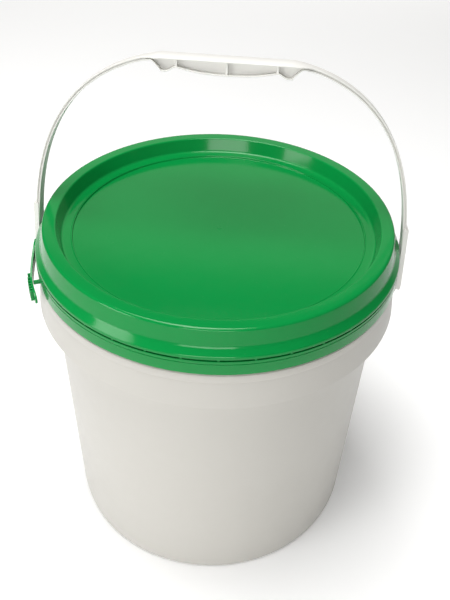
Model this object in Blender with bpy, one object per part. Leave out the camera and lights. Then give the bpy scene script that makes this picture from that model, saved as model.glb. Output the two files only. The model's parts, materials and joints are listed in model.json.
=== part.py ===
"""Ten litre plastic pail with a press-on lid, a tamper-evident tear band and a moulded bail handle.

The frame stands on the floor: origin at the centre of the base, +Z up, the bail's pivot line along X.
Run with: blender --background --python part.py
"""

import math

import bmesh
import bpy
from mathutils import Matrix, Vector

MM = 0.001

# ---- Driving sizes, in millimetres and degrees ---------------------------------------------------
OVERALL_HEIGHT = 263.5  # floor to the top of the lid's ring
RIM_RADIUS = 126.0  # outer edge of the lid's flat top ring
TAPER = 2.35  # draft of the pail's wall
WALL = 2.0  # pail wall and collar
BASE_WALL = 2.4
LID_WALL = 1.7  # lid and tear band
SEAT_GAP = 0.5  # between pieces that seat or slide on each other
TOUCH_GAP = 0.3  # between pieces that rest on each other

RING_WIDTH = 9.3  # lid: flat top ring
WELL_DRAFT = 3.2  # lid: the well's wall leans in this much between ring and ledge
LEDGE_WIDTH = 7.2  # lid: flat ledge round the panel, for the foot of a pail on top
LEDGE_DROP = 11.1
PANEL_DROP = 12.2
PANEL_DRAFT = 0.3  # lid: the low step leans in this much between ledge and panel
PLUG_DROP = 14.0  # lid: sealing rib inside the pail's mouth
SHOULDER_DROP = 12.4  # lid: where the skirt starts to flare
SHOULDER_FLARE = 2.5
SKIRT_FLARE = 6.4
SKIRT_DROP = 19.4
SHOULDER_RISE = 2.0  # lid: upright stretch at the skirt's lower edge
LIP_WALL = 0.8  # lid: thin lip behind the tear groove
LIP_DROP = 2.6

GASKET_HEIGHT = 2.0

TEAR_GROOVE = 1.2
BAND_HEIGHT = 11.0
BAND_RIB_TOP = 4.0  # tear band: depth of the snap rib's top below the band's top
BAND_RIB_HEIGHT = 2.4

SNAP_BEAD = 3.2  # pail: how far the snap bead stands out of the neck
BEAD_HEIGHT = 3.2
COLLAR_HEIGHT = 29.3
COLLAR_FLARE = 2.0
COLLAR_STEP = 0.6
COLLAR_RING = 7.4  # pail: height of the thicker ring at the collar's top
GUSSETS = 24
GUSSET_WALL = 1.6
FOOT_WIDTH = 7.0
FOOT_ROUND = 4.0
FOOT_RECESS = 2.5
CHIME_HEIGHT = 6.0
CHIME_STEP = 0.7

PIVOT_DROP = 13.2  # below the collar's top
EAR_RADIUS = 11.0
EAR_STAND = 0.3  # ear's face beyond the collar's foot
STUD_RADIUS = 4.2
STUD_GAP = 0.35
HEAD_OVERHANG = 2.0
HEAD_THICKNESS = 2.4

STRAP_THICKNESS = 2.9
STRAP_WIDTH = 11.0
STRAP_FLANGE = 0.9
STRAP_WEB = 2.4
STRAP_CROWN = 0.25  # outer face: fall from its middle to its edges
HANDLE_REACH = 156.3  # pivot line to the grip's top face
HANDLE_LEAN = 10.0  # rest position, tipped back from upright
BEND_START = 5.0  # height above the pivot line at which the legs start to bend
BEND_HALF = 6.0  # half the distance between the middles of the two bends
BEND_TOP = 158.7  # the bends would meet at this height
BEND_SQUARENESS = 2.66  # an ellipse would have 2
PLATE_RADIUS = 9.0  # round lower end of each leg
PLATE_HEIGHT = 42.0  # above the pivot line
PLATE_STEP = 0.4  # the end plate stands out this much beyond the strap
PLATE_OVERLAP = 0.1  # inside the strap, where only the plate comes near the ear
GRIP_WIDTH = 20.0
GRIP_CROWN = 1.6
GRIP_NECK = 5.2  # grip's depth at its outer ribs
GRIP_BELLY = 3.2  # extra depth at the middle
GRIP_STOP = 3.2  # extra depth at the finger stops
GRIP_RIB_PITCH = 34.0
GRIP_RIB_WALL = 1.6
STOP_CENTRE = 43.2
GRIP_END = 51.5

TAB_START = 188.0  # azimuth of the pull tab's root, degrees
TAB_END = 209.5
TAB_WALL = 1.5
TAB_HEIGHT = 9.8
TAB_OFFSET = 3.8  # its free end stands this far out from the band
TAB_DROP = 12.5  # and this much lower than its root
TAB_BLEND = 15.0  # degrees over which it leaves the band
TAB_ROUND = 2.6  # degrees of its rounded free end
BRIDGE_AZIMUTH = 204.5  # thin link that holds the tab to the band until it is pulled
BRIDGE_WALL = 1.6
BRIDGE_HEIGHT = 3.0

SEGMENTS = 48

# ---- Heights and radii that follow from them -------------------------------------------------------
lid_under = OVERALL_HEIGHT - LID_WALL
skirt_radius = RIM_RADIUS + SKIRT_FLARE
neck_radius = RIM_RADIUS - LID_WALL - SEAT_GAP
mouth_radius = neck_radius - WALL
mouth_top = lid_under - GASKET_HEIGHT - 2 * TOUCH_GAP
band_top = OVERALL_HEIGHT - SKIRT_DROP - TEAR_GROOVE
band_bottom = band_top - BAND_HEIGHT
band_inside = skirt_radius - LID_WALL
bead_radius = neck_radius + SNAP_BEAD
bead_bottom = band_top - BAND_RIB_TOP + SEAT_GAP + TOUCH_GAP
collar_top = band_bottom - SEAT_GAP
collar_bottom = collar_top - COLLAR_HEIGHT
collar_radius = skirt_radius - COLLAR_STEP
foot_radius = collar_radius - COLLAR_STEP + COLLAR_FLARE
pivot_height = collar_top - PIVOT_DROP
ear_face = foot_radius + EAR_STAND
plate_inside = ear_face + TOUCH_GAP
strap_inside = plate_inside + PLATE_OVERLAP
strap_outside = strap_inside + STRAP_THICKNESS
plate_outside = strap_outside + PLATE_STEP
plug_radius = mouth_radius - SEAT_GAP


def wall_radius(height):
    """Outside of the pail's tapered wall at this height."""
    return neck_radius - (collar_top - height) * math.tan(math.radians(TAPER))


def collar_outside(height):
    """Outside of the collar's skirt below its ring."""
    share = (collar_top - COLLAR_RING - height) / (COLLAR_HEIGHT - COLLAR_RING)
    return collar_radius - COLLAR_STEP + COLLAR_FLARE * share


# ---- Materials ------------------------------------------------------------------------------------
def plastic(name, colour, roughness):
    made = bpy.data.materials.new(name)
    made.use_nodes = True
    shader = made.node_tree.nodes["Principled BSDF"]
    shader.inputs["Base Color"].default_value = (*colour, 1.0)
    shader.inputs["Roughness"].default_value = roughness
    shader.inputs["Metallic"].default_value = 0.0
    return made


# ---- Modelling helpers ------------------------------------------------------------------------------
def add_object(name, mesh, material=None, location=(0.0, 0.0, 0.0)):
    """A named object at a place in millimetres. With no material it is a cutter or another helper."""
    made = bpy.data.objects.new(name, mesh)
    made.location = Vector(location) * MM
    bpy.context.scene.collection.objects.link(made)
    if material:
        mesh.materials.append(material)
    else:
        made.hide_render = True
        made.display_type = "WIRE"
    return made


def rounded(corners, steps=2):
    """Corners are (radius, height) or (radius, height, fillet). A fillet becomes an arc of a few points."""
    points = []
    for i, corner in enumerate(corners):
        here = Vector(corner[:2])
        fillet = corner[2] if len(corner) > 2 else 0.0
        if not fillet:
            points.append(here)
            continue
        before = (Vector(corners[i - 1][:2]) - here).normalized()
        after = (Vector(corners[(i + 1) % len(corners)][:2]) - here).normalized()
        half = before.angle(after) / 2
        centre = here + (before + after).normalized() * (fillet / math.sin(half))
        start = here + before * (fillet / math.tan(half)) - centre
        turn = start.angle_signed(here + after * (fillet / math.tan(half)) - centre)
        for k in range(steps + 1):
            angle = turn * k / steps
            spun = Vector(
                (
                    start.x * math.cos(angle) + start.y * math.sin(angle),
                    start.y * math.cos(angle) - start.x * math.sin(angle),
                )
            )
            points.append(centre + spun)
    return points


def turned(name, points, material, closed, base=0.0):
    """A turned moulding. Its profile runs down its outer side and is screwed round the Z axis."""
    mesh = bpy.data.meshes.new(name)
    edges = [(i, i + 1) for i in range(len(points) - 1)]
    if closed:
        edges.append((len(points) - 1, 0))
    mesh.from_pydata([(p.x * MM, 0.0, (p.y - base) * MM) for p in points], edges, [])
    made = add_object(name, mesh, material, (0.0, 0.0, base))
    screw = made.modifiers.new("Turn", "SCREW")
    screw.axis = "Z"
    screw.steps = screw.render_steps = SEGMENTS
    screw.use_merge_vertices = True
    screw.merge_threshold = 0.00001
    screw.use_smooth_shade = True
    return made


def combine(target, other, operation):
    step = target.modifiers.new(other.name, "BOOLEAN")
    step.operation = operation
    step.object = other
    return step


def cylinder_x(name, radius, x_from, x_to, height, sides=32):
    """A round helper along X, between two X positions."""
    mesh = bpy.data.meshes.new(name)
    shape = bmesh.new()
    bmesh.ops.create_cone(
        shape,
        cap_ends=True,
        segments=sides,
        radius1=radius * MM,
        radius2=radius * MM,
        depth=abs(x_to - x_from) * MM,
    )
    for vertex in shape.verts:
        x, y, z = vertex.co
        vertex.co = (z, y, -x)
    shape.to_mesh(mesh)
    shape.free()
    return add_object(name, mesh, None, ((x_from + x_to) / 2, 0.0, height))


def smooth(value, start, end):
    """Runs from 0 at start to 1 at end, level at both."""
    share = min(max((value - start) / (end - start), 0.0), 1.0)
    return share * share * (3 - 2 * share)


def box_mesh(shape, low, high):
    """Adds a box between two corners, in millimetres, to a bmesh."""
    made = bmesh.ops.create_cube(shape, size=1.0)["verts"]
    size = Vector(high) - Vector(low)
    middle = (Vector(high) + Vector(low)) / 2
    for vertex in made:
        vertex.co = Vector(vertex.co[k] * size[k] + middle[k] for k in range(3)) * MM
    return made


def swept(name, loops, location=(0.0, 0.0, 0.0)):
    """A closed solid through a row of equal loops of points, in millimetres, capped at both ends."""
    shape = bmesh.new()
    rings = [[shape.verts.new(Vector(p) * MM) for p in loop] for loop in loops]
    for first, second in zip(rings, rings[1:]):
        for k in range(len(first)):
            other = (k + 1) % len(first)
            shape.faces.new((first[k], second[k], second[other], first[other]))
    shape.faces.new(rings[0])
    shape.faces.new(reversed(rings[-1]))
    bmesh.ops.recalc_face_normals(shape, faces=shape.faces)
    mesh = bpy.data.meshes.new(name)
    shape.to_mesh(mesh)
    shape.free()
    return add_object(name, mesh, None, location)


# ---- Pail: one injection moulding -------------------------------------------------------------------
def make_pail(material):
    floor_top = FOOT_RECESS + BASE_WALL
    base_radius = wall_radius(CHIME_HEIGHT)
    foot_outside = base_radius - CHIME_STEP
    ring_bottom = collar_top - COLLAR_RING
    inner_foot = wall_radius(floor_top) - WALL
    corners = [
        (0.0, floor_top),
        (inner_foot, floor_top, FOOT_ROUND),
        (wall_radius(collar_top) - WALL, collar_top),
        (mouth_radius, mouth_top),
        (neck_radius, mouth_top),
        (neck_radius, bead_bottom + BEAD_HEIGHT + SNAP_BEAD / 3),
        (bead_radius, bead_bottom + BEAD_HEIGHT),
        (bead_radius, bead_bottom + SNAP_BEAD / 6),
        (neck_radius, bead_bottom),
        (neck_radius, collar_top),
        (collar_radius, collar_top, COLLAR_RING / 2),
        (collar_radius, ring_bottom + COLLAR_STEP),
        (collar_radius - COLLAR_STEP, ring_bottom),
        (foot_radius, collar_bottom),
        (foot_radius - WALL, collar_bottom),
        (collar_radius - COLLAR_STEP - WALL, collar_top - WALL * 1.6),
        (wall_radius(collar_top - WALL), collar_top - WALL * 1.2),
        (base_radius, CHIME_HEIGHT),
        (foot_outside, CHIME_HEIGHT - CHIME_STEP),
        (foot_outside, 0.0, FOOT_ROUND),
        (foot_outside - FOOT_WIDTH - FOOT_ROUND, 0.0),
        (foot_outside - FOOT_WIDTH - FOOT_ROUND - FOOT_RECESS, FOOT_RECESS),
        (0.0, FOOT_RECESS),
    ]
    pail = turned("pail_shell", rounded(corners), material, closed=False)

    gussets = bpy.data.meshes.new("gussets")
    shape = bmesh.new()
    for k in range(GUSSETS):
        angle = math.radians(360.0 / GUSSETS * (k + 0.5))
        corners = box_mesh(shape, (-1.0, -GUSSET_WALL / 2, -1.0), (1.0, GUSSET_WALL / 2, 1.0))
        for vertex in corners:
            height = collar_top - WALL if vertex.co.z > 0 else collar_bottom + WALL
            radius = collar_outside(height) if vertex.co.x > 0 else wall_radius(height)
            radius = (radius - WALL / 2) * MM
            y = vertex.co.y
            vertex.co = (
                radius * math.cos(angle) - y * math.sin(angle),
                radius * math.sin(angle) + y * math.cos(angle),
                height * MM,
            )
    shape.to_mesh(gussets)
    shape.free()
    combine(pail, add_object("gussets", gussets), "UNION")

    for side, sign in (("left", -1), ("right", 1)):
        wall = collar_outside(pivot_height)
        ear = cylinder_x(
            "ear_" + side, EAR_RADIUS, sign * (wall - WALL / 2), sign * ear_face, pivot_height
        )
        combine(pail, ear, "UNION")
        hole = cylinder_x(
            "ear_hole_" + side,
            STUD_RADIUS + STUD_GAP,
            sign * (wall - 2 * WALL),
            sign * (ear_face + WALL),
            pivot_height,
        )
        combine(pail, hole, "DIFFERENCE")
    return pail


# ---- Lid: one injection moulding, without the band that tears off --------------------------------------
def make_lid(material):
    top = OVERALL_HEIGHT
    ring_inside = RIM_RADIUS - RING_WIDTH
    ledge = ring_inside - WELL_DRAFT
    step = ledge - LEDGE_WIDTH
    panel = step - PANEL_DRAFT
    ledge_under = top - LEDGE_DROP - LID_WALL
    bottom = top - SKIRT_DROP
    lip = band_inside - SEAT_GAP
    corners = [
        (0.0, top - PANEL_DROP),
        (panel, top - PANEL_DROP, 0.3),
        (step, top - LEDGE_DROP, 0.3),
        (ledge, top - LEDGE_DROP, 2.0),
        (ring_inside, top, 1.2),
        (RIM_RADIUS, top, 2.2),
        (RIM_RADIUS + SHOULDER_FLARE, top - SHOULDER_DROP),
        (skirt_radius, bottom + SHOULDER_RISE),
        (skirt_radius, bottom),
        (lip, bottom),
        (lip, bottom - LIP_DROP),
        (lip - LIP_WALL, bottom - LIP_DROP),
        (lip - LIP_WALL, bottom + SHOULDER_RISE - LIP_WALL),
        (RIM_RADIUS + SHOULDER_FLARE - LID_WALL, top - SHOULDER_DROP - LID_WALL / 2),
        (RIM_RADIUS - LID_WALL, lid_under),
        (plug_radius, lid_under),
        (plug_radius, top - PLUG_DROP + LID_WALL / 2),
        (plug_radius - LID_WALL / 2, top - PLUG_DROP),
        (plug_radius - LID_WALL, top - PLUG_DROP),
        (plug_radius - LID_WALL, lid_under),
        (ring_inside + LID_WALL * 0.7, lid_under),
        (ledge + LID_WALL * 0.9, ledge_under),
        (step + PANEL_DRAFT * 2, ledge_under),
        (panel + PANEL_DRAFT, top - PANEL_DROP - LID_WALL),
        (0.0, top - PANEL_DROP - LID_WALL),
    ]
    return turned("lid_shell", rounded(corners), material, closed=False, base=bottom)


# ---- Gasket: soft ring in the lid's channel, on the pail's mouth ----------------------------------------
def make_gasket(material):
    top = lid_under - TOUCH_GAP
    inside = plug_radius + TOUCH_GAP
    outside = RIM_RADIUS - LID_WALL - TOUCH_GAP
    corners = [
        (outside, top),
        (outside, top - GASKET_HEIGHT),
        (inside, top - GASKET_HEIGHT),
        (inside, top),
    ]
    return turned("lid_gasket", rounded(corners), material, closed=True, base=top)


# ---- Tear band: the skirt's lower ring, which locks the lid until it is torn off --------------------------
def make_band(material):
    rib_top = band_top - BAND_RIB_TOP
    rib_inside = bead_radius + SEAT_GAP
    corners = [
        (skirt_radius, band_top),
        (skirt_radius, band_bottom),
        (band_inside, band_bottom),
        (band_inside, rib_top - BAND_RIB_HEIGHT * 2),
        (rib_inside, rib_top - BAND_RIB_HEIGHT),
        (rib_inside, rib_top),
        (band_inside, rib_top + 0.4),
        (band_inside, band_top),
    ]
    band = turned("tear_band", rounded(corners), material, closed=True, base=band_bottom)
    bridge = bpy.data.meshes.new("bridge")
    shape = bmesh.new()
    box_mesh(
        shape,
        (skirt_radius - LID_WALL / 2, -BRIDGE_WALL / 2, band_bottom - BRIDGE_HEIGHT / 3),
        (skirt_radius + TAB_OFFSET, BRIDGE_WALL / 2, band_bottom + BRIDGE_HEIGHT * 2 / 3),
    )
    turn = Matrix.Rotation(math.radians(BRIDGE_AZIMUTH), 4, "Z")
    bmesh.ops.transform(shape, matrix=turn, verts=shape.verts)
    shape.to_mesh(bridge)
    shape.free()
    combine(band, add_object("bridge", bridge), "UNION")
    return band


# ---- Pull tab: the band's free end, which starts the tear -------------------------------------------------
def tab_hinge():
    """The pull tab bends about an upright line at the inner corner of its root."""
    angle = math.radians(TAB_START)
    radius = skirt_radius + TOUCH_GAP
    return radius * math.cos(angle), radius * math.sin(angle)


def make_tab(material):
    hinge_x, hinge_y = tab_hinge()
    steps = 28
    loops = []
    for k in range(steps + 1):
        azimuth = TAB_START + (TAB_END - TAB_START) * k / steps
        leave = smooth(azimuth, TAB_START + 1, TAB_START + TAB_BLEND)
        inside = skirt_radius + TOUCH_GAP + TAB_OFFSET * leave
        middle = band_bottom + 2 * SEAT_GAP + TAB_HEIGHT / 2 - TAB_DROP * leave
        into_round = max(azimuth - (TAB_END - TAB_ROUND), 0.0) / TAB_ROUND
        half = TAB_HEIGHT / 2 * math.sqrt(1 - 0.9 * into_round**2)
        angle = math.radians(azimuth)
        loop = []
        for radius, height in (
            (inside, middle - half),
            (inside + TAB_WALL, middle - half),
            (inside + TAB_WALL, middle + half),
            (inside, middle + half),
        ):
            x = radius * math.cos(angle) - hinge_x
            y = radius * math.sin(angle) - hinge_y
            loop.append((x, y, height - band_bottom))
        loops.append(loop)
    tab = swept("pull_tab", loops, (hinge_x, hinge_y, band_bottom))
    tab.hide_render = False
    tab.display_type = "TEXTURED"
    tab.data.materials.append(material)
    return tab


# ---- Bail handle: one moulding, an I-section strap that deepens into a ribbed grip -------------------------
def bend_height(x):
    """Height of the bail's outer face above the pivot line, at this distance from its middle."""
    share = max(abs(x) - BEND_HALF, 0.0) / (strap_outside - BEND_HALF)
    rise = (1 - share**BEND_SQUARENESS) ** (1 / BEND_SQUARENESS)
    return BEND_START + (BEND_TOP - BEND_START) * rise


def bail_line():
    """Outer face of the bail in its own plane, from the right pivot over the grip to the left one."""
    across = strap_outside - BEND_HALF
    up = BEND_TOP - BEND_START
    power = 2 / BEND_SQUARENESS
    meet = math.acos(((GRIP_END - BEND_HALF) / across) ** (1 / power))
    half = [(strap_outside, 0.0)]
    turns = 18
    for k in range(turns):
        angle = meet * (k / turns) ** (1 / power)
        x = BEND_HALF + across * math.cos(angle) ** power
        half.append((x, BEND_START + up * math.sin(angle) ** power))
    steps = 20
    for k in range(steps):
        x = GRIP_END * (1 - k / steps)
        half.append((x, min(bend_height(x), HANDLE_REACH)))
    return half + [(0.0, HANDLE_REACH)] + [(-x, z) for x, z in reversed(half)]


def bail_depth(x):
    """Depth of the section: the strap's, or the grip's with its belly and finger stops."""
    away = abs(x)
    if away < GRIP_RIB_PITCH:
        return GRIP_NECK + GRIP_BELLY * (1 - (away / GRIP_RIB_PITCH) ** 2.4)
    if away < STOP_CENTRE:
        return GRIP_NECK + GRIP_STOP * smooth(away, GRIP_RIB_PITCH, STOP_CENTRE)
    stop = GRIP_NECK + GRIP_STOP
    return stop - (stop - STRAP_THICKNESS) * smooth(away, STOP_CENTRE, GRIP_END)


def grip_share(x):
    """1 over the grip and 0 along the strap."""
    return 1 - smooth(abs(x), GRIP_END - 6, GRIP_END + 8)


def make_handle(material):
    line = [Vector(point) for point in bail_line()]
    loops = []
    for k, point in enumerate(line):
        along = line[min(k + 1, len(line) - 1)] - line[max(k - 1, 0)]
        inward = Vector((-along.y, along.x)).normalized()
        depth = bail_depth(point.x)
        half = (STRAP_WIDTH + (GRIP_WIDTH - STRAP_WIDTH) * grip_share(point.x)) / 2
        crown = STRAP_CROWN + (GRIP_CROWN - STRAP_CROWN) * grip_share(point.x) ** 2
        section = [
            (0.0, -half / 3),
            (crown / 3, -half * 2 / 3),
            (crown, -half),
            (crown + STRAP_FLANGE, -half),
            (STRAP_FLANGE, -STRAP_WEB / 2),
            (depth - STRAP_FLANGE, -STRAP_WEB / 2),
            (depth - STRAP_FLANGE, -half),
            (depth, -half),
        ]
        section += [(inset, -y) for inset, y in reversed(section)]
        loops.append(
            [(point.x + inward.x * d, y, point.y + inward.y * d) for d, y in section]
        )
    handle = swept("bail_handle", loops, (0.0, 0.0, pivot_height))
    handle.hide_render = False
    handle.display_type = "TEXTURED"
    handle.data.materials.append(material)

    ribs = bpy.data.meshes.new("grip_ribs")
    shape = bmesh.new()
    for x in (-GRIP_RIB_PITCH, 0.0, GRIP_RIB_PITCH):
        half = GRIP_WIDTH / 2 - 2 * PLATE_STEP
        box_mesh(
            shape,
            (x - GRIP_RIB_WALL / 2, -half, HANDLE_REACH - bail_depth(x) + STRAP_FLANGE / 2),
            (x + GRIP_RIB_WALL / 2, half, HANDLE_REACH - GRIP_CROWN - STRAP_FLANGE / 2),
        )
    shape.to_mesh(ribs)
    shape.free()
    combine(handle, add_object("grip_ribs", ribs, None, (0.0, 0.0, pivot_height)), "UNION")

    top_half = STRAP_WIDTH / 2 + PLATE_STEP
    outline = [(-top_half, PLATE_HEIGHT), (-PLATE_RADIUS, 0.0)]
    for k in range(1, 12):
        angle = math.radians(180 + 15 * k)
        outline.append((PLATE_RADIUS * math.cos(angle), PLATE_RADIUS * math.sin(angle)))
    outline += [(PLATE_RADIUS, 0.0), (top_half, PLATE_HEIGHT)]
    head_outside = collar_outside(pivot_height) - WALL - SEAT_GAP - TOUCH_GAP
    head_inside = head_outside - HEAD_THICKNESS
    for side, sign in (("left", -1), ("right", 1)):
        loops = [[(sign * x, y, z) for y, z in outline] for x in (plate_inside, plate_outside)]
        plate = swept("plate_" + side, loops, (0.0, 0.0, pivot_height))
        stud = cylinder_x(
            "stud_" + side,
            STUD_RADIUS,
            sign * (head_inside + HEAD_THICKNESS / 2),
            sign * (plate_inside + STRAP_THICKNESS / 2),
            pivot_height,
        )
        head = cylinder_x(
            "stud_head_" + side,
            STUD_RADIUS + HEAD_OVERHANG,
            sign * head_inside,
            sign * head_outside,
            pivot_height,
        )
        for piece in (plate, stud, head):
            combine(handle, piece, "UNION")
    lean_back(handle)
    return handle


def lean_back(handle):
    """Parents the handle and the pieces joined to it to an empty on the pivot line, and tips it back."""
    pivot = bpy.data.objects.new("pivot", None)
    pivot.location = (0.0, 0.0, pivot_height * MM)
    bpy.context.scene.collection.objects.link(pivot)
    for piece in [handle] + [step.object for step in handle.modifiers]:
        place = piece.location.copy()
        piece.parent = pivot
        piece.location = place - pivot.location
    pivot.rotation_euler = (-math.radians(HANDLE_LEAN), 0.0, 0.0)


def main():
    for old in list(bpy.data.objects):
        bpy.data.objects.remove(old)
    white = plastic("white_pail", (0.80, 0.79, 0.76), 0.35)
    bail_white = plastic("white_bail", (0.84, 0.84, 0.81), 0.40)
    green = plastic("green_lid", (0.02, 0.33, 0.09), 0.28)
    rubber = plastic("gasket_rubber", (0.45, 0.45, 0.43), 0.70)
    make_pail(white)
    make_lid(green)
    make_gasket(rubber)
    make_band(green)
    make_tab(green)
    make_handle(bail_white)


main()
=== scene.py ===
"""A round plastic pail with a press-on lid, its tear band and pull tab, and a moulded bail handle."""

import json
import math

import bmesh
import bpy
from mathutils import Matrix, Vector


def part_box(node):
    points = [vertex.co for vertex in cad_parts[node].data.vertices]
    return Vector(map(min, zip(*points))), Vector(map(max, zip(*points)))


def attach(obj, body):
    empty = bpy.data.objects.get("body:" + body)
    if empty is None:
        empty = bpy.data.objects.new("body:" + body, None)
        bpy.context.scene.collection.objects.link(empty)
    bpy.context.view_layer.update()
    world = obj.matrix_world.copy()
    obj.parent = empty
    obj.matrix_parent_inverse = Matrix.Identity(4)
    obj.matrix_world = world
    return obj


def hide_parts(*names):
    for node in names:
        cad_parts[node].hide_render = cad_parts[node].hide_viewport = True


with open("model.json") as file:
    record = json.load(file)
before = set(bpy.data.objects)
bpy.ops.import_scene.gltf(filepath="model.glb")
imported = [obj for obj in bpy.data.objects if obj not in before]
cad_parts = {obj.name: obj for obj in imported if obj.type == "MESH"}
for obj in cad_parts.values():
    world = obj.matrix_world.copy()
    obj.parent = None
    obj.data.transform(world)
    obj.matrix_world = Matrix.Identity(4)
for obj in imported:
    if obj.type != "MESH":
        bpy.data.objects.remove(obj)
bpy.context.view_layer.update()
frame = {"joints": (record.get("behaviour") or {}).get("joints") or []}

# ---- Pail -----------------------------------------------------------------------------------------
# The pail is one thin polypropylene moulding: a tapered wall on a foot ring, a collar that hangs
# outside the wall, and a neck with the bead that the tear band catches on. It is drawn out ring by
# ring, and its corners are rounded as the mould's are.
mm = 0.001
sides = 160
pail_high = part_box("pail_shell")[1]
mouth_top = pail_high[2] / mm
wall_slope = math.tan(math.radians(2.35))
collar_top = mouth_top - 27.8
collar_foot = collar_top - 29.3
neck = 123.8
wall = 2.0


def wall_radius(height):
    """Outside radius of the tapered wall at this height."""
    return neck - (collar_top - height) * wall_slope


def begin(piece, name):
    """Names a new primitive, puts its place into its mesh and opens it for editing."""
    piece.name = name
    piece.data.name = name
    bpy.ops.object.transform_apply(location=True, rotation=True, scale=True)
    bpy.ops.object.mode_set(mode="EDIT")
    bpy.ops.mesh.select_mode(type="VERT")
    return piece


def pick(piece, wanted):
    """Selects the corners of the open piece that are where wanted says, in millimetres, and no others."""
    bpy.ops.mesh.select_all(action="DESELECT")
    shape = bmesh.from_edit_mesh(piece.data)
    for corner in shape.verts:
        corner.select = bool(wanted(corner.co / mm))
    shape.select_flush_mode()
    bmesh.update_edit_mesh(piece.data)


def round_ring(piece, radius, height, width, steps=3):
    """Rounds the corner that runs round a turned piece at this radius and height."""
    pick(piece, lambda p: abs(math.hypot(p.x, p.y) - radius) < 0.02 and abs(p.z - height) < 0.02)
    bpy.ops.mesh.bevel(offset=width * mm, segments=steps, affect="EDGES", clamp_overlap=True)


def close_up(piece):
    """Turns all faces outwards and leaves edit mode."""
    bpy.ops.mesh.select_all(action="SELECT")
    bpy.ops.mesh.normals_make_consistent(inside=False)
    bpy.ops.mesh.select_all(action="DESELECT")
    bpy.ops.object.mode_set(mode="OBJECT")
    return piece


def draw_rings(name, rings, filled=True):
    """A turned piece through rings of (radius, height, corner rounding), in millimetres.

    It is filled at its middle, or its last ring is joined to its first to make a hoop.
    """
    bpy.ops.object.select_all(action="DESELECT")
    radius, height = rings[0][:2]
    bpy.ops.mesh.primitive_circle_add(
        vertices=sides,
        radius=radius * mm,
        location=(0, 0, height * mm),
        fill_type="NGON" if filled else "NOTHING",
    )
    piece = begin(bpy.context.object, name)
    bpy.ops.mesh.select_mode(type="EDGE")
    bpy.ops.mesh.select_all(action="SELECT")
    if filled:
        bpy.ops.mesh.region_to_loop()
    for here, there in zip(rings, rings[1:]):
        grow = there[0] / here[0]
        rise = (0, 0, (there[1] - here[1]) * mm)
        bpy.ops.mesh.extrude_edges_move(TRANSFORM_OT_translate={"value": rise})
        bpy.ops.transform.resize(value=(grow, grow, 1), center_override=(0, 0, 0))
    if filled:
        bpy.ops.mesh.edge_face_add()
    else:
        bpy.ops.mesh.select_all(action="DESELECT")
        bpy.ops.mesh.select_non_manifold()
        bpy.ops.mesh.bridge_edge_loops()
    bpy.ops.mesh.select_mode(type="VERT")
    for radius, height, width in rings:
        if width:
            round_ring(piece, radius, height, width)
    return close_up(piece)


def merge_in(piece, other, operation="UNION"):
    """Welds another solid into this one, or cuts it out, and removes it."""
    bpy.ops.object.select_all(action="DESELECT")
    bpy.context.view_layer.objects.active = piece
    piece.select_set(True)
    step = piece.modifiers.new("joined", "BOOLEAN")
    step.solver = "EXACT"
    step.operation = operation
    step.object = other
    bpy.ops.object.modifier_apply(modifier=step.name)
    bpy.data.objects.remove(other)


def finish_surface(piece, angle=28):
    """Shades a piece smooth, with creases only at its real corners and its wide faces left flat."""
    bpy.ops.object.select_all(action="DESELECT")
    bpy.context.view_layer.objects.active = piece
    piece.select_set(True)
    bpy.ops.object.shade_smooth_by_angle(angle=math.radians(angle))
    step = piece.modifiers.new("flat_faces", "WEIGHTED_NORMAL")
    step.mode = "FACE_AREA"
    step.keep_sharp = True
    bpy.ops.object.modifier_apply(modifier=step.name)


floor_top = 4.9
foot = wall_radius(6.0)
pail = draw_rings(
    "pail",
    [
        (foot - 14.2, 2.5, 0.5),
        (foot - 11.7, 0.0, 0.7),
        (foot - 0.7, 0.0, 3.2),
        (foot - 0.7, 5.3, 0.25),
        (foot, 6.0, 0.3),
        (wall_radius(collar_top - 2.0), collar_top - 2.4, 0.8),
        (129.2, collar_top - 3.2, 0.8),
        (131.2, collar_foot, 0.5),
        (133.2, collar_foot, 0.7),
        (131.2, collar_top - 7.4, 0.35),
        (131.8, collar_top - 6.8, 0.35),
        (131.8, collar_top, 3.2),
        (neck, collar_top, 0.8),
        (neck, collar_top + 8.3, 0.4),
        (neck + 3.2, collar_top + 8.8, 0.5),
        (neck + 3.2, collar_top + 11.5, 0.7),
        (neck, collar_top + 12.6, 0.4),
        (neck, mouth_top, 0.7),
        (neck - wall, mouth_top, 0.7),
        (neck - wall, collar_top, 0.0),
        (wall_radius(floor_top) - wall, floor_top, 3.5),
    ],
)

# The gussets between the collar and the wall are thin fins: one is made and copied round.
bpy.ops.object.select_all(action="DESELECT")
gusset_low = collar_foot + 2.0
gusset_high = collar_top - 2.6
middle = (gusset_low + gusset_high) / 2
fin_centre, fin_deep = 126, 9
bpy.ops.mesh.primitive_cube_add(
    size=1,
    location=(fin_centre * mm, 0, middle * mm),
    scale=(fin_deep * mm, 1.6 * mm, (gusset_high - gusset_low) * mm),
)
fins = begin(bpy.context.object, "gussets")
fin_ends = {
    (False, False): wall_radius(gusset_low) - 1.0,
    (False, True): 130.2,
    (True, False): wall_radius(gusset_high) - 1.0,
    (True, True): 128.4,
}
for (upper, outer), reach in fin_ends.items():
    pick(fins, lambda p: (p.z > middle) == upper and (p.x > fin_centre) == outer)
    start = fin_centre + (fin_deep / 2 if outer else -fin_deep / 2)
    bpy.ops.transform.translate(value=((reach - start) * mm, 0, 0))
bpy.ops.mesh.select_all(action="SELECT")
bpy.ops.transform.rotate(value=math.radians(7.5), orient_axis="Z", center_override=(0, 0, 0))
for turn in range(23):
    bpy.ops.mesh.duplicate()
    bpy.ops.transform.rotate(value=math.radians(15), orient_axis="Z", center_override=(0, 0, 0))
close_up(fins)
merge_in(pail, fins)

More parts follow.
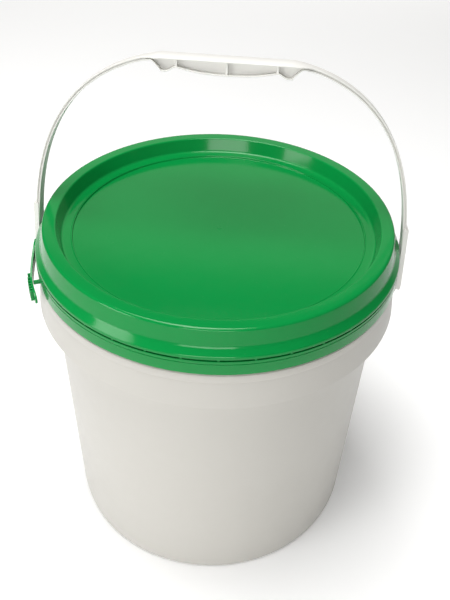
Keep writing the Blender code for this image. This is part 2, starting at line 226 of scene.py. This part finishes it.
# Each ear is a round boss on the collar with the hole that the bail's stud turns in.
pivot = next(j for j in frame["joints"] if j["name"] == "bail_swing")["pos_m"][2] / mm
ear_face = pail_high[0] / mm


def peg(name, radius, x_from, x_to, rounding=0.0):
    """A round peg along X at the pivot, its outer rim rounded."""
    bpy.ops.object.select_all(action="DESELECT")
    bpy.ops.mesh.primitive_cylinder_add(
        vertices=48,
        radius=radius * mm,
        depth=abs(x_to - x_from) * mm,
        location=((x_from + x_to) / 2 * mm, 0, pivot * mm),
        rotation=(0, math.radians(90), 0),
    )
    made = begin(bpy.context.object, name)
    if rounding:
        pick(made, lambda p: abs(p.x - x_to) < 0.01)
        bpy.ops.mesh.bevel(offset=rounding * mm, segments=3, affect="EDGES")
    return close_up(made)


for side, sign in (("left", -1), ("right", 1)):
    merge_in(pail, peg("ear_" + side, 11.0, sign * 131.0, sign * ear_face, 0.2))
    merge_in(pail, peg("ear_hole_" + side, 4.55, sign * 127.8, sign * 136.0), "DIFFERENCE")


class Blend:
    """A number or colour that changes over a surface. Sums and products of it add Math nodes."""

    def __init__(self, socket):
        self.socket = socket

    def node(self, kind, settings=None, values=None, output=0):
        """A node with its settings, then its sockets' values or links. It returns the output as a Blend."""
        tree = self.socket.id_data
        made = tree.nodes.new(kind)
        for name, value in (settings or {}).items():
            if name == "stops":
                while len(made.color_ramp.elements) < len(value):
                    made.color_ramp.elements.new(0.5)
                for stop, (place, shade) in zip(made.color_ramp.elements, value):
                    stop.position = place
                    stop.color = (shade, shade, shade, 1)
            else:
                setattr(made, name, value)
        for name, value in (values or {}).items():
            if isinstance(value, Blend):
                tree.links.new(value.socket, made.inputs[name])
            else:
                made.inputs[name].default_value = value
        return Blend(made.outputs[output])

    def maths(self, operation, first, second):
        return self.node("ShaderNodeMath", {"operation": operation}, {0: first, 1: second})

    def __add__(self, other):
        return self.maths("ADD", self, other)

    def __mul__(self, other):
        return self.maths("MULTIPLY", self, other)

    def __sub__(self, other):
        return self.maths("SUBTRACT", self, other)

    def __rsub__(self, other):
        return self.maths("SUBTRACT", other, self)

    __radd__ = __add__
    __rmul__ = __mul__


def moulded(name, colour, deep, gloss, peel, scuff, shine=0.5):
    """A moulded plastic: colour drifting to deep, a slight peel in the skin, scuffs and a little dust."""
    made = bpy.data.materials.new(name)
    made.use_nodes = True
    shader = made.node_tree.nodes["Principled BSDF"]
    place = Blend(made.node_tree.nodes.new("ShaderNodeTexCoord").outputs["Object"])
    drift = place.node(
        "ShaderNodeTexNoise",
        values={"Vector": place, "Scale": 14.0, "Detail": 3.0, "Roughness": 0.55},
    )
    cloud = place.node(
        "ShaderNodeTexNoise",
        values={"Vector": place, "Scale": 90.0, "Detail": 4.0, "Roughness": 0.6},
    )
    skin = place.node(
        "ShaderNodeTexNoise",
        values={"Vector": place, "Scale": 620.0, "Detail": 2.0, "Roughness": 0.5},
    )
    # Long thin scuffs: noise drawn out along a slanted direction and cut to its crests.
    slant = place.node(
        "ShaderNodeMapping",
        values={"Vector": place, "Rotation": (0.4, 0.9, 0.6), "Scale": (900.0, 22.0, 40.0)},
    )
    lines = place.node(
        "ShaderNodeTexNoise", values={"Vector": slant, "Scale": 1.0, "Detail": 2.0}
    )
    scratch = place.node(
        "ShaderNodeValToRGB", {"stops": [(0.66, 0.0), (0.72, 1.0)]}, {"Fac": lines}
    )
    worn = place.node(
        "ShaderNodeValToRGB", {"stops": [(0.48, 0.0), (0.7, 1.0)]}, {"Fac": drift}
    )
    specks = place.node(
        "ShaderNodeTexVoronoi", values={"Vector": place, "Scale": 160.0, "Randomness": 1.0}
    )
    dust = place.node(
        "ShaderNodeValToRGB", {"stops": [(0.03, 1.0), (0.055, 0.0)]}, {"Fac": specks}
    )
    tone = place.node(
        "ShaderNodeMix",
        {"data_type": "RGBA"},
        {"Factor": drift * 0.7 + cloud * 0.3, "A": (*colour, 1), "B": (*deep, 1)},
        2,
    )
    pale = tuple(min(1.0, 0.25 + c * 0.8) for c in colour)
    dusty = place.node(
        "ShaderNodeMix",
        {"data_type": "RGBA"},
        {"Factor": dust * 0.10 + scratch * worn * scuff * 0.35, "A": tone, "B": (*pale, 1)},
        2,
    )
    rough = cloud * 0.10 + drift * 0.06 + scratch * worn * scuff + dust * 0.12 + (gloss - 0.08)
    height = skin * peel + cloud * (peel * 1.4) - scratch * worn * (scuff * 0.5)
    bump = place.node(
        "ShaderNodeBump", values={"Strength": 0.35, "Distance": 0.0004, "Height": height}
    )
    tree = made.node_tree
    tree.links.new(dusty.socket, shader.inputs["Base Color"])
    tree.links.new(rough.socket, shader.inputs["Roughness"])
    tree.links.new(bump.socket, shader.inputs["Normal"])
    shader.inputs["IOR"].default_value = 1.49
    shader.inputs["Specular IOR Level"].default_value = shine
    return made


white = moulded("pail_white", (0.54, 0.525, 0.485), (0.51, 0.495, 0.455), 0.36, 0.25, 0.12)
pail.data.materials.clear()
pail.data.materials.append(white)
finish_surface(pail)
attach(pail, "pail")
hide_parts("pail_shell")

# ---- Gasket ---------------------------------------------------------------------------------------
# A soft foamed ring lies in the lid's channel and seals on the pail's mouth. It is cast in place,
# so its edges are full and round.
seal_low, seal_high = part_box("lid_gasket")
seal_out = seal_high[0] / mm
seal_in = seal_out - 2.4
gasket = draw_rings(
    "gasket",
    [
        (seal_out, seal_high[2] / mm, 0.6),
        (seal_out, seal_low[2] / mm, 0.6),
        (seal_in, seal_low[2] / mm, 0.6),
        (seal_in, seal_high[2] / mm, 0.6),
    ],
    filled=False,
)
rubber = moulded("gasket_foam", (0.45, 0.45, 0.43), (0.36, 0.36, 0.34), 0.78, 1.0, 0.1)
gasket.data.materials.append(rubber)
finish_surface(gasket)
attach(gasket, "lid")
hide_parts("lid_gasket")

# ---- Lid ------------------------------------------------------------------------------------------
# The lid is one polyethylene moulding. Its flat ring stands over the pail's mouth, the panel is
# sunk inside it, and the skirt steps out at a shoulder. A plug wall reaches down into the mouth.
lid_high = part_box("lid_shell")[1]
top = lid_high[2] / mm
skirt = lid_high[0] / mm
ring_out = skirt - 6.4
panel = top - 12.2
ledge = top - 11.1
lid_wall = 1.7
lid = draw_rings(
    "lid",
    [
        (1.4, panel + 0.12, 0.1),
        (1.8, panel, 0.15),
        (ring_out - 20.3, panel, 0.35),
        (ring_out - 20.0, ledge + 0.35, 0.3),
        (ring_out - 19.3, ledge + 0.35, 0.3),
        (ring_out - 19.0, ledge, 0.2),
        (ring_out - 12.5, ledge, 1.6),
        (ring_out - 9.3, top, 0.9),
        (ring_out, top, 1.7),
        (ring_out + 2.5, top - 12.4, 1.2),
        (skirt, top - 17.4, 0.9),
        (skirt, top - 19.4, 0.35),
        (130.2, top - 19.4, 0.0),
        (130.2, top - 22.0, 0.15),
        (129.4, top - 22.0, 0.15),
        (129.4, top - 18.2, 0.0),
        (126.8, top - 13.25, 0.5),
        (124.3, top - lid_wall, 0.4),
        (121.3, top - lid_wall, 0.3),
        (121.3, top - 13.15, 0.0),
        (120.45, top - 14.0, 0.3),
        (119.6, top - 14.0, 0.3),
        (119.6, top - lid_wall, 0.3),
        (117.9, top - lid_wall, 0.3),
        (115.03, ledge - lid_wall, 0.8),
        (106.9, ledge - lid_wall, 0.2),
        (106.3, panel - lid_wall, 0.2),
        (4.0, panel - lid_wall, 0.0),
    ],
)
green = moulded("lid_green", (0.003, 0.25, 0.05), (0.002, 0.22, 0.042), 0.12, 0.1, 0.05, shine=0.28)
lid.data.materials.append(green)
finish_surface(lid)
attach(lid, "lid")
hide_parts("lid_shell")

# ---- Tear band ------------------------------------------------------------------------------------
# The lower ring of the skirt locks under the pail's bead until it is torn off. It is the lid's own
# green, with a thin tear line near its top and the stubs of the links that held it to the skirt.
band_top = top - 20.6
band_foot = band_top - 11.0
band_wall = 1.7
stub_at = skirt - 0.9
band = draw_rings(
    "band_ring",
    [
        (skirt, band_top, 0.35),
        (skirt, band_top - 1.9, 0.1),
        (skirt - 0.35, band_top - 2.15, 0.1),
        (skirt - 0.35, band_top - 2.5, 0.1),
        (skirt, band_top - 2.75, 0.1),
        (skirt, band_foot, 0.4),
        (skirt - band_wall, band_foot, 0.3),
        (skirt - band_wall, band_foot + 2.2, 0.3),
        (127.5, band_foot + 4.6, 0.3),
        (127.5, band_foot + 7.0, 0.3),
        (skirt - band_wall, band_foot + 7.4, 0.3),
        (skirt - band_wall, band_top, 0.2),
    ],
    filled=False,
)
bpy.ops.object.select_all(action="DESELECT")
bpy.ops.mesh.primitive_cube_add(
    size=1,
    location=(stub_at * mm, 0, (band_top + 0.2) * mm),
    scale=(0.9 * mm, 1.8 * mm, 1.6 * mm),
)
stubs = begin(bpy.context.object, "link_stubs")
pick(stubs, lambda p: p.z > band_top)
bpy.ops.transform.resize(value=(0.7, 0.7, 1), center_override=(stub_at * mm, 0, 0))
bpy.ops.mesh.select_all(action="SELECT")
bpy.ops.transform.rotate(value=math.radians(5), orient_axis="Z", center_override=(0, 0, 0))
for turn in range(35):
    bpy.ops.mesh.duplicate()
    bpy.ops.transform.rotate(value=math.radians(10), orient_axis="Z", center_override=(0, 0, 0))
close_up(stubs)
merge_in(band, stubs)

bridge_azimuth = math.radians(204.5)
bridge_at = skirt + 1.475
bpy.ops.object.select_all(action="DESELECT")
bpy.ops.mesh.primitive_cube_add(
    size=1,
    location=(
        bridge_at * math.cos(bridge_azimuth) * mm,
        bridge_at * math.sin(bridge_azimuth) * mm,
        (band_foot + 0.5) * mm,
    ),
    rotation=(0, 0, bridge_azimuth),
    scale=(4.65 * mm, 1.6 * mm, 3.0 * mm),
)
bridge = begin(bpy.context.object, "bridge")
bpy.ops.mesh.select_all(action="SELECT")
bpy.ops.mesh.bevel(offset=0.3 * mm, segments=2, affect="EDGES")
close_up(bridge)
merge_in(band, bridge)
band.data.materials.clear()
band.data.materials.append(green)
finish_surface(band)
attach(band, "tamper_band")
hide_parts("tear_band")

# ---- Pull tab -------------------------------------------------------------------------------------
# The tab is the band's free end. It leaves the band at its root, hangs a little lower at its round
# end, and has cross ribs for the fingers on its outer face.
tab_start = 188.0
tab_end = 209.5
tab_wall = 1.5
tab_tall = 9.8
tab_round = 2.6
tab_stand, tab_drop = 3.8, 12.5


def ease(value, start, end):
    """Runs from 0 at start to 1 at end, level at both."""
    share = min(max((value - start) / (end - start), 0.0), 1.0)
    return share * share * (3 - 2 * share)


def tab_place(azimuth):
    """Middle radius, middle height and half height of the tab at this azimuth."""
    leave = ease(azimuth, tab_start + 1, tab_start + 15)
    into_round = max(azimuth - (tab_end - tab_round), 0.0) / tab_round
    half = tab_tall / 2 * math.sqrt(1 - 0.9 * into_round**2)
    radius = skirt + 0.3 + tab_stand * leave + tab_wall / 2
    return radius, band_foot + 1.0 + tab_tall / 2 - tab_drop * leave, half


radius, height, half = tab_place(tab_start)
turn = math.radians(tab_start)
bpy.ops.object.select_all(action="DESELECT")
bpy.ops.mesh.primitive_plane_add(
    size=1,
    location=(radius * math.cos(turn) * mm, radius * math.sin(turn) * mm, height * mm),
    rotation=(math.radians(90), 0, turn),
)
bpy.context.object.scale = (tab_wall * mm, 2 * half * mm, 1)
tab = begin(bpy.context.object, "tab_strip")
bpy.ops.mesh.select_all(action="SELECT")
tab_steps = 43
for k in range(tab_steps):
    azimuth = tab_start + (tab_end - tab_start) * k / tab_steps
    next_azimuth = tab_start + (tab_end - tab_start) * (k + 1) / tab_steps
    there = tab_place(next_azimuth)
    here = tab_place(azimuth)
    a, b = math.radians(azimuth), math.radians(next_azimuth)
    new_middle = Vector((there[0] * math.cos(b), there[0] * math.sin(b), there[1])) * mm
    old_middle = Vector((here[0] * math.cos(a), here[0] * math.sin(a), here[1])) * mm
    bpy.ops.mesh.extrude_region_move(
        TRANSFORM_OT_translate={"value": new_middle - old_middle}
    )
    bpy.ops.transform.rotate(value=-(b - a), orient_axis="Z", center_override=new_middle)
    bpy.ops.transform.resize(value=(1, 1, there[2] / here[2]), center_override=new_middle)
bpy.ops.mesh.select_all(action="SELECT")
bpy.ops.mesh.normals_make_consistent(inside=False)
bpy.ops.mesh.select_all(action="DESELECT")
bpy.ops.mesh.edges_select_sharp(sharpness=math.radians(50))
bpy.ops.mesh.bevel(offset=0.3 * mm, segments=2, affect="EDGES")
close_up(tab)
for k in range(7):
    azimuth = 199.4 + 1.2 * k
    radius, height, half = tab_place(azimuth)
    turn = math.radians(azimuth)
    rib_middle = radius + tab_wall / 2 + 0.7
    bpy.ops.object.select_all(action="DESELECT")
    bpy.ops.mesh.primitive_cube_add(
        size=1,
        location=(
            rib_middle * math.cos(turn) * mm,
            rib_middle * math.sin(turn) * mm,
            height * mm,
        ),
        rotation=(0, 0, turn),
        scale=(2.4 * mm, 1.3 * mm, (2 * half - 1.2) * mm),
    )
    rib = begin(bpy.context.object, "tab_rib")
    bpy.ops.mesh.select_all(action="SELECT")
    bpy.ops.mesh.bevel(offset=0.35 * mm, segments=2, affect="EDGES")
    close_up(rib)
    merge_in(tab, rib)
tab.data.materials.clear()
tab.data.materials.append(green)
finish_surface(tab, 35)
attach(tab, "tab")
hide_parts("pull_tab")

# ---- Bail handle ----------------------------------------------------------------------------------
# The bail is one polypropylene moulding: a flat strap with a shallow groove along each edge. It
# arches from ear to ear, widens into a ribbed grip with finger stops, and ends in plates with studs
# that turn in the ears.
bail_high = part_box("bail_handle")[1]
plate_out = bail_high[0] / mm
strap_out = plate_out - 0.4
plate_in = plate_out - 3.4
reach = 156.3
arch_flat, arch_low, arch_rise, arch_power = 6, 5, 153.7, 2.66
lean = math.radians(10)
strap_wide, grip_wide = 11.0, 20.0
strap_thick = 2.9
flange = 0.9
strap_web, grip_web = 8.4, 12.0
grip_end, stop_at, rib_at = 52.5, 42.6, 34.0
belly_deep, rib_deep, stop_deep = 11.3, 7.6, 10.8


def arch_height(x):
    """Height of the bail's outer face above the pivot at this distance from its middle."""
    share = max(abs(x) - arch_flat, 0.0) / (strap_out - arch_flat)
    return min(arch_low + arch_rise * (1 - share**arch_power) ** (1 / arch_power), reach)


def arch_points(turns, steps):
    """The bail's outer line in its own plane, from the right ear over the grip to the left ear."""
    power = 2 / arch_power
    meet = math.acos(((grip_end - arch_flat) / (strap_out - arch_flat)) ** (1 / power))
    half = [(strap_out, 0.0)]
    for k in range(turns):
        angle = meet * (k / turns) ** (1 / power)
        x = arch_flat + (strap_out - arch_flat) * math.cos(angle) ** power
        half.append((x, arch_low + arch_rise * math.sin(angle) ** power))
    for k in range(steps):
        x = grip_end * (1 - k / steps)
        half.append((x, arch_height(x)))
    return half + [(0.0, reach)] + [(-x, z) for x, z in reversed(half)]


def depth_at(x):
    """Depth of the section: the strap's, or the grip's with its belly and finger stops."""
    away = abs(x)
    if away < rib_at:
        return rib_deep + (belly_deep - rib_deep) * (1 - (away / rib_at) ** 2.4)
    if away < stop_at:
        return rib_deep + (stop_deep - rib_deep) * ease(away, rib_at, stop_at - 1.5)
    return stop_deep - (stop_deep - strap_thick) * ease(away, stop_at + 1.5, grip_end)


def grip_share(x):
    """1 over the grip and 0 along the strap."""
    return 1 - ease(abs(x), grip_end - 6, grip_end + 8)


line = [Vector((x, 0, z)) for x, z in arch_points(44, 46)]
# The section's corners, as (inset from the outer face, sideways place as a share of the half width).
outline = [
    (0.0, -1 / 3),
    (0.08, -2 / 3),
    (0.25, -1.0),
    (0.25 + flange, -1.0),
    (flange, -strap_web / strap_wide),
    (strap_thick - flange, -strap_web / strap_wide),
    (strap_thick - flange, -1.0),
    (strap_thick, -1.0),
]
outline += [(inset, -across) for inset, across in reversed(outline)]
bpy.ops.object.select_all(action="DESELECT")
bpy.ops.mesh.primitive_circle_add(
    vertices=16, radius=5 * mm, location=(0, 0, pivot * mm), fill_type="NGON"
)
bail = begin(bpy.context.object, "bail")


def pick_corners(number, columns):
    """Selects only these corners of one ring of the section, and returns the first one's place."""
    bpy.ops.mesh.select_all(action="DESELECT")
    shape = bmesh.from_edit_mesh(bail.data)
    shape.verts.ensure_lookup_table()
    for column in columns:
        shape.verts[len(outline) * number + column].select = True
    shape.select_flush_mode()
    bmesh.update_edit_mesh(bail.data)
    return shape.verts[len(outline) * number + columns[0]].co.copy()


def heading(k):
    """Angle of travel along the line at point k, in its plane."""
    along = line[min(k + 1, len(line) - 1)] - line[max(k - 1, 0)]
    return math.atan2(along.z, along.x)


for k, (inset, across) in enumerate(outline):
    goal = Vector((strap_out - inset, across * strap_wide / 2, pivot)) * mm
    bpy.ops.transform.translate(value=goal - pick_corners(0, [k]))
pick_corners(0, range(len(outline)))
bases = [(p + Vector((0, 0, pivot))) * mm for p in line]
wide, deep, crown, web, angle = strap_wide, strap_thick, 0.25, strap_web, math.radians(90)
for k in range(1, len(line)):
    share = grip_share(line[k].x)
    bpy.ops.mesh.extrude_region_move(TRANSFORM_OT_translate={"value": bases[k] - bases[k - 1]})
    turn = heading(k) - angle
    bpy.ops.transform.rotate(value=turn, orient_axis="Y", center_override=bases[k])
    angle += turn
    new_wide = strap_wide + (grip_wide - strap_wide) * share
    bpy.ops.transform.resize(value=(1, new_wide / wide, 1), center_override=bases[k])
    new_web = strap_web + (grip_web - strap_web) * share
    pick_corners(k, (4, 5, 10, 11))
    narrow = new_web * wide / (web * new_wide)
    bpy.ops.transform.resize(value=(1, narrow, 1), center_override=bases[k])
    inward = Vector((-math.sin(angle), 0, math.cos(angle))) * mm
    new_deep = depth_at(line[k].x)
    new_crown = 0.25 + 1.35 * share**2
    for columns, shift in (
        ((5, 6, 7, 8, 9, 10), new_deep - deep),
        ((2, 3, 12, 13), new_crown - crown),
        ((1, 14), (new_crown - crown) / 3),
    ):
        if abs(shift) > 1e-6:
            pick_corners(k, columns)
            bpy.ops.transform.translate(value=inward * shift)
    pick_corners(k, range(len(outline)))
    wide, deep, crown, web = new_wide, new_deep, new_crown, new_web
bpy.ops.mesh.select_all(action="SELECT")
bpy.ops.mesh.normals_make_consistent(inside=False)
bpy.ops.mesh.select_all(action="DESELECT")
bpy.ops.mesh.edges_select_sharp(sharpness=math.radians(50))
bpy.ops.mesh.bevel(offset=0.25 * mm, segments=2, affect="EDGES")
close_up(bail)

for x in (-rib_at, 0.0, rib_at):
    low, high = reach - depth_at(x) + 0.45, reach - 2.05
    bpy.ops.object.select_all(action="DESELECT")
    bpy.ops.mesh.primitive_cube_add(
        size=1,
        location=(x * mm, 0, (pivot + (low + high) / 2) * mm),
        scale=(1.6 * mm, (grip_wide - 1.6) * mm, (high - low) * mm),
    )
    rib = begin(bpy.context.object, "grip_rib")
    bpy.ops.mesh.select_all(action="SELECT")
    bpy.ops.mesh.bevel(offset=0.2 * mm, segments=2, affect="EDGES")
    close_up(rib)
    merge_in(bail, rib)

# The collar widens from 131.2 mm by 2.0 over 21.9 mm of height, and the stud's head sits inside it.
head_out = 131.2 + 2.0 * (collar_top - 7.4 - pivot) / 21.9 - 2.8
for side, sign in (("left", -1), ("right", 1)):
    plate = peg("plate_" + side, 9.0, sign * plate_in, sign * plate_out)
    bpy.ops.object.select_all(action="DESELECT")
    bpy.context.view_layer.objects.active = plate
    bpy.ops.object.mode_set(mode="EDIT")
    pick(plate, lambda p: p.z > pivot + 0.1)
    bpy.ops.transform.resize(value=(1, 5.9 / 8.9, 0), center_override=(0, 0, pivot * mm))
    bpy.ops.transform.translate(value=(0, 0, 42 * mm))
    bpy.ops.mesh.select_all(action="SELECT")
    bpy.ops.mesh.dissolve_limited(angle_limit=math.radians(1))
    pick(plate, lambda p: abs(p.x - sign * plate_out) < 0.01)
    bpy.ops.mesh.bevel(offset=0.35 * mm, segments=2, affect="EDGES")
    close_up(plate)
    merge_in(bail, plate)
    merge_in(bail, peg("stud_" + side, 4.2, sign * (head_out - 1.2), sign * (plate_in + 1.4)))
    merge_in(bail, peg("head_" + side, 6.2, sign * head_out, sign * (head_out - 2.4), 0.5))
bpy.ops.object.select_all(action="DESELECT")
bpy.context.view_layer.objects.active = bail
bail.select_set(True)
bpy.ops.object.mode_set(mode="EDIT")
bpy.ops.mesh.select_all(action="SELECT")
bpy.ops.transform.rotate(value=lean, orient_axis="X", center_override=(0, 0, pivot * mm))
close_up(bail)
bail_white = moulded("bail_white", (0.74, 0.73, 0.695), (0.70, 0.69, 0.655), 0.40, 0.2, 0.1)
bail.data.materials.clear()
bail.data.materials.append(bail_white)
finish_surface(bail, 32)
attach(bail, "bail")
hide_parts("bail_handle")

# ---- Studio ---------------------------------------------------------------------------------------
# A pale floor that glows a little, as a light table does, a soft window from the front left, a
# ceiling light, a front fill, a light for the far floor, and a dim back wall that the lid mirrors.
# The camera looks down from the front.
bpy.ops.object.select_all(action="DESELECT")
bpy.ops.mesh.primitive_plane_add(size=9, location=(0, 0, -0.0005))
ground = bpy.context.object
ground.name = "ground"
pale_floor = bpy.data.materials.new("pale_floor")
pale_floor.use_nodes = True
surface = pale_floor.node_tree.nodes["Principled BSDF"]
surface.inputs["Base Color"].default_value = (0.95, 0.95, 0.945, 1)
surface.inputs["Roughness"].default_value = 0.8
surface.inputs["Emission Color"].default_value = (1, 1, 1, 1)
surface.inputs["Emission Strength"].default_value = 0.15
ground.data.materials.append(pale_floor)


def soft_light(name, place, aim, width, length, power, tint=(1, 1, 1)):
    """A rectangular soft light that faces a point, sizes in metres."""
    lamp = bpy.data.lights.new(name, "AREA")
    lamp.shape = "RECTANGLE"
    lamp.size = width
    lamp.size_y = length
    lamp.energy = power
    lamp.color = tint
    holder = bpy.data.objects.new(name, lamp)
    bpy.context.scene.collection.objects.link(holder)
    holder.location = place
    holder.rotation_euler = (Vector(aim) - Vector(place)).to_track_quat("-Z", "Y").to_euler()


soft_light("window", (-1.55, -1.15, 0.62), (0, 0, 0.22), 0.75, 0.95, 14)
soft_light("ceiling", (-0.2, -0.05, 1.8), (-0.1, 0, 0), 1.2, 0.8, 32)
soft_light("front", (0.0, -1.9, 0.6), (0, 0, 0.25), 1.0, 0.6, 12)
soft_light("back_wall", (0, 2.6, 1.4), (0, 0, 0.3), 4.0, 1.4, 11, (1, 0.98, 0.94))
soft_light("back_floor", (0, 2.1, 0.8), (0, 2.4, 0), 3.4, 0.8, 14)
# The room round the stage is white to the eye, and dim where it lights or is mirrored.
world = bpy.data.worlds.new("studio")
bpy.context.scene.world = world
world.use_nodes = True
room = world.node_tree.nodes["Background"]
room.inputs["Color"].default_value = (1, 0.98, 0.95, 1)
seen = Blend(world.node_tree.nodes.new("ShaderNodeLightPath").outputs["Is Camera Ray"])
world.node_tree.links.new((seen * 0.9 + 0.07).socket, room.inputs["Strength"])

yaw, pitch, roll = math.radians(-1.82), math.radians(35.74), math.radians(3.24)
facing = Vector((math.sin(yaw) * math.cos(pitch), math.cos(yaw) * math.cos(pitch), -math.sin(pitch)))
level = Vector((math.cos(yaw), -math.sin(yaw), 0))
upright = level.cross(facing)
across = math.cos(roll) * level + math.sin(roll) * upright
up = math.cos(roll) * upright - math.sin(roll) * level
lens = bpy.data.cameras.new("camera")
lens.lens = 47.4
lens.sensor_width = 36
lens.shift_x = -0.0333
lens.shift_y = -0.08
camera = bpy.data.objects.new("camera", lens)
bpy.context.scene.collection.objects.link(camera)
turned = Matrix((across, up, -facing)).transposed().to_4x4()
camera.matrix_world = Matrix.Translation((0.0348, -0.4793, 0.5764)) @ turned
bpy.context.scene.camera = camera
bpy.context.scene.view_settings.view_transform = "Standard"
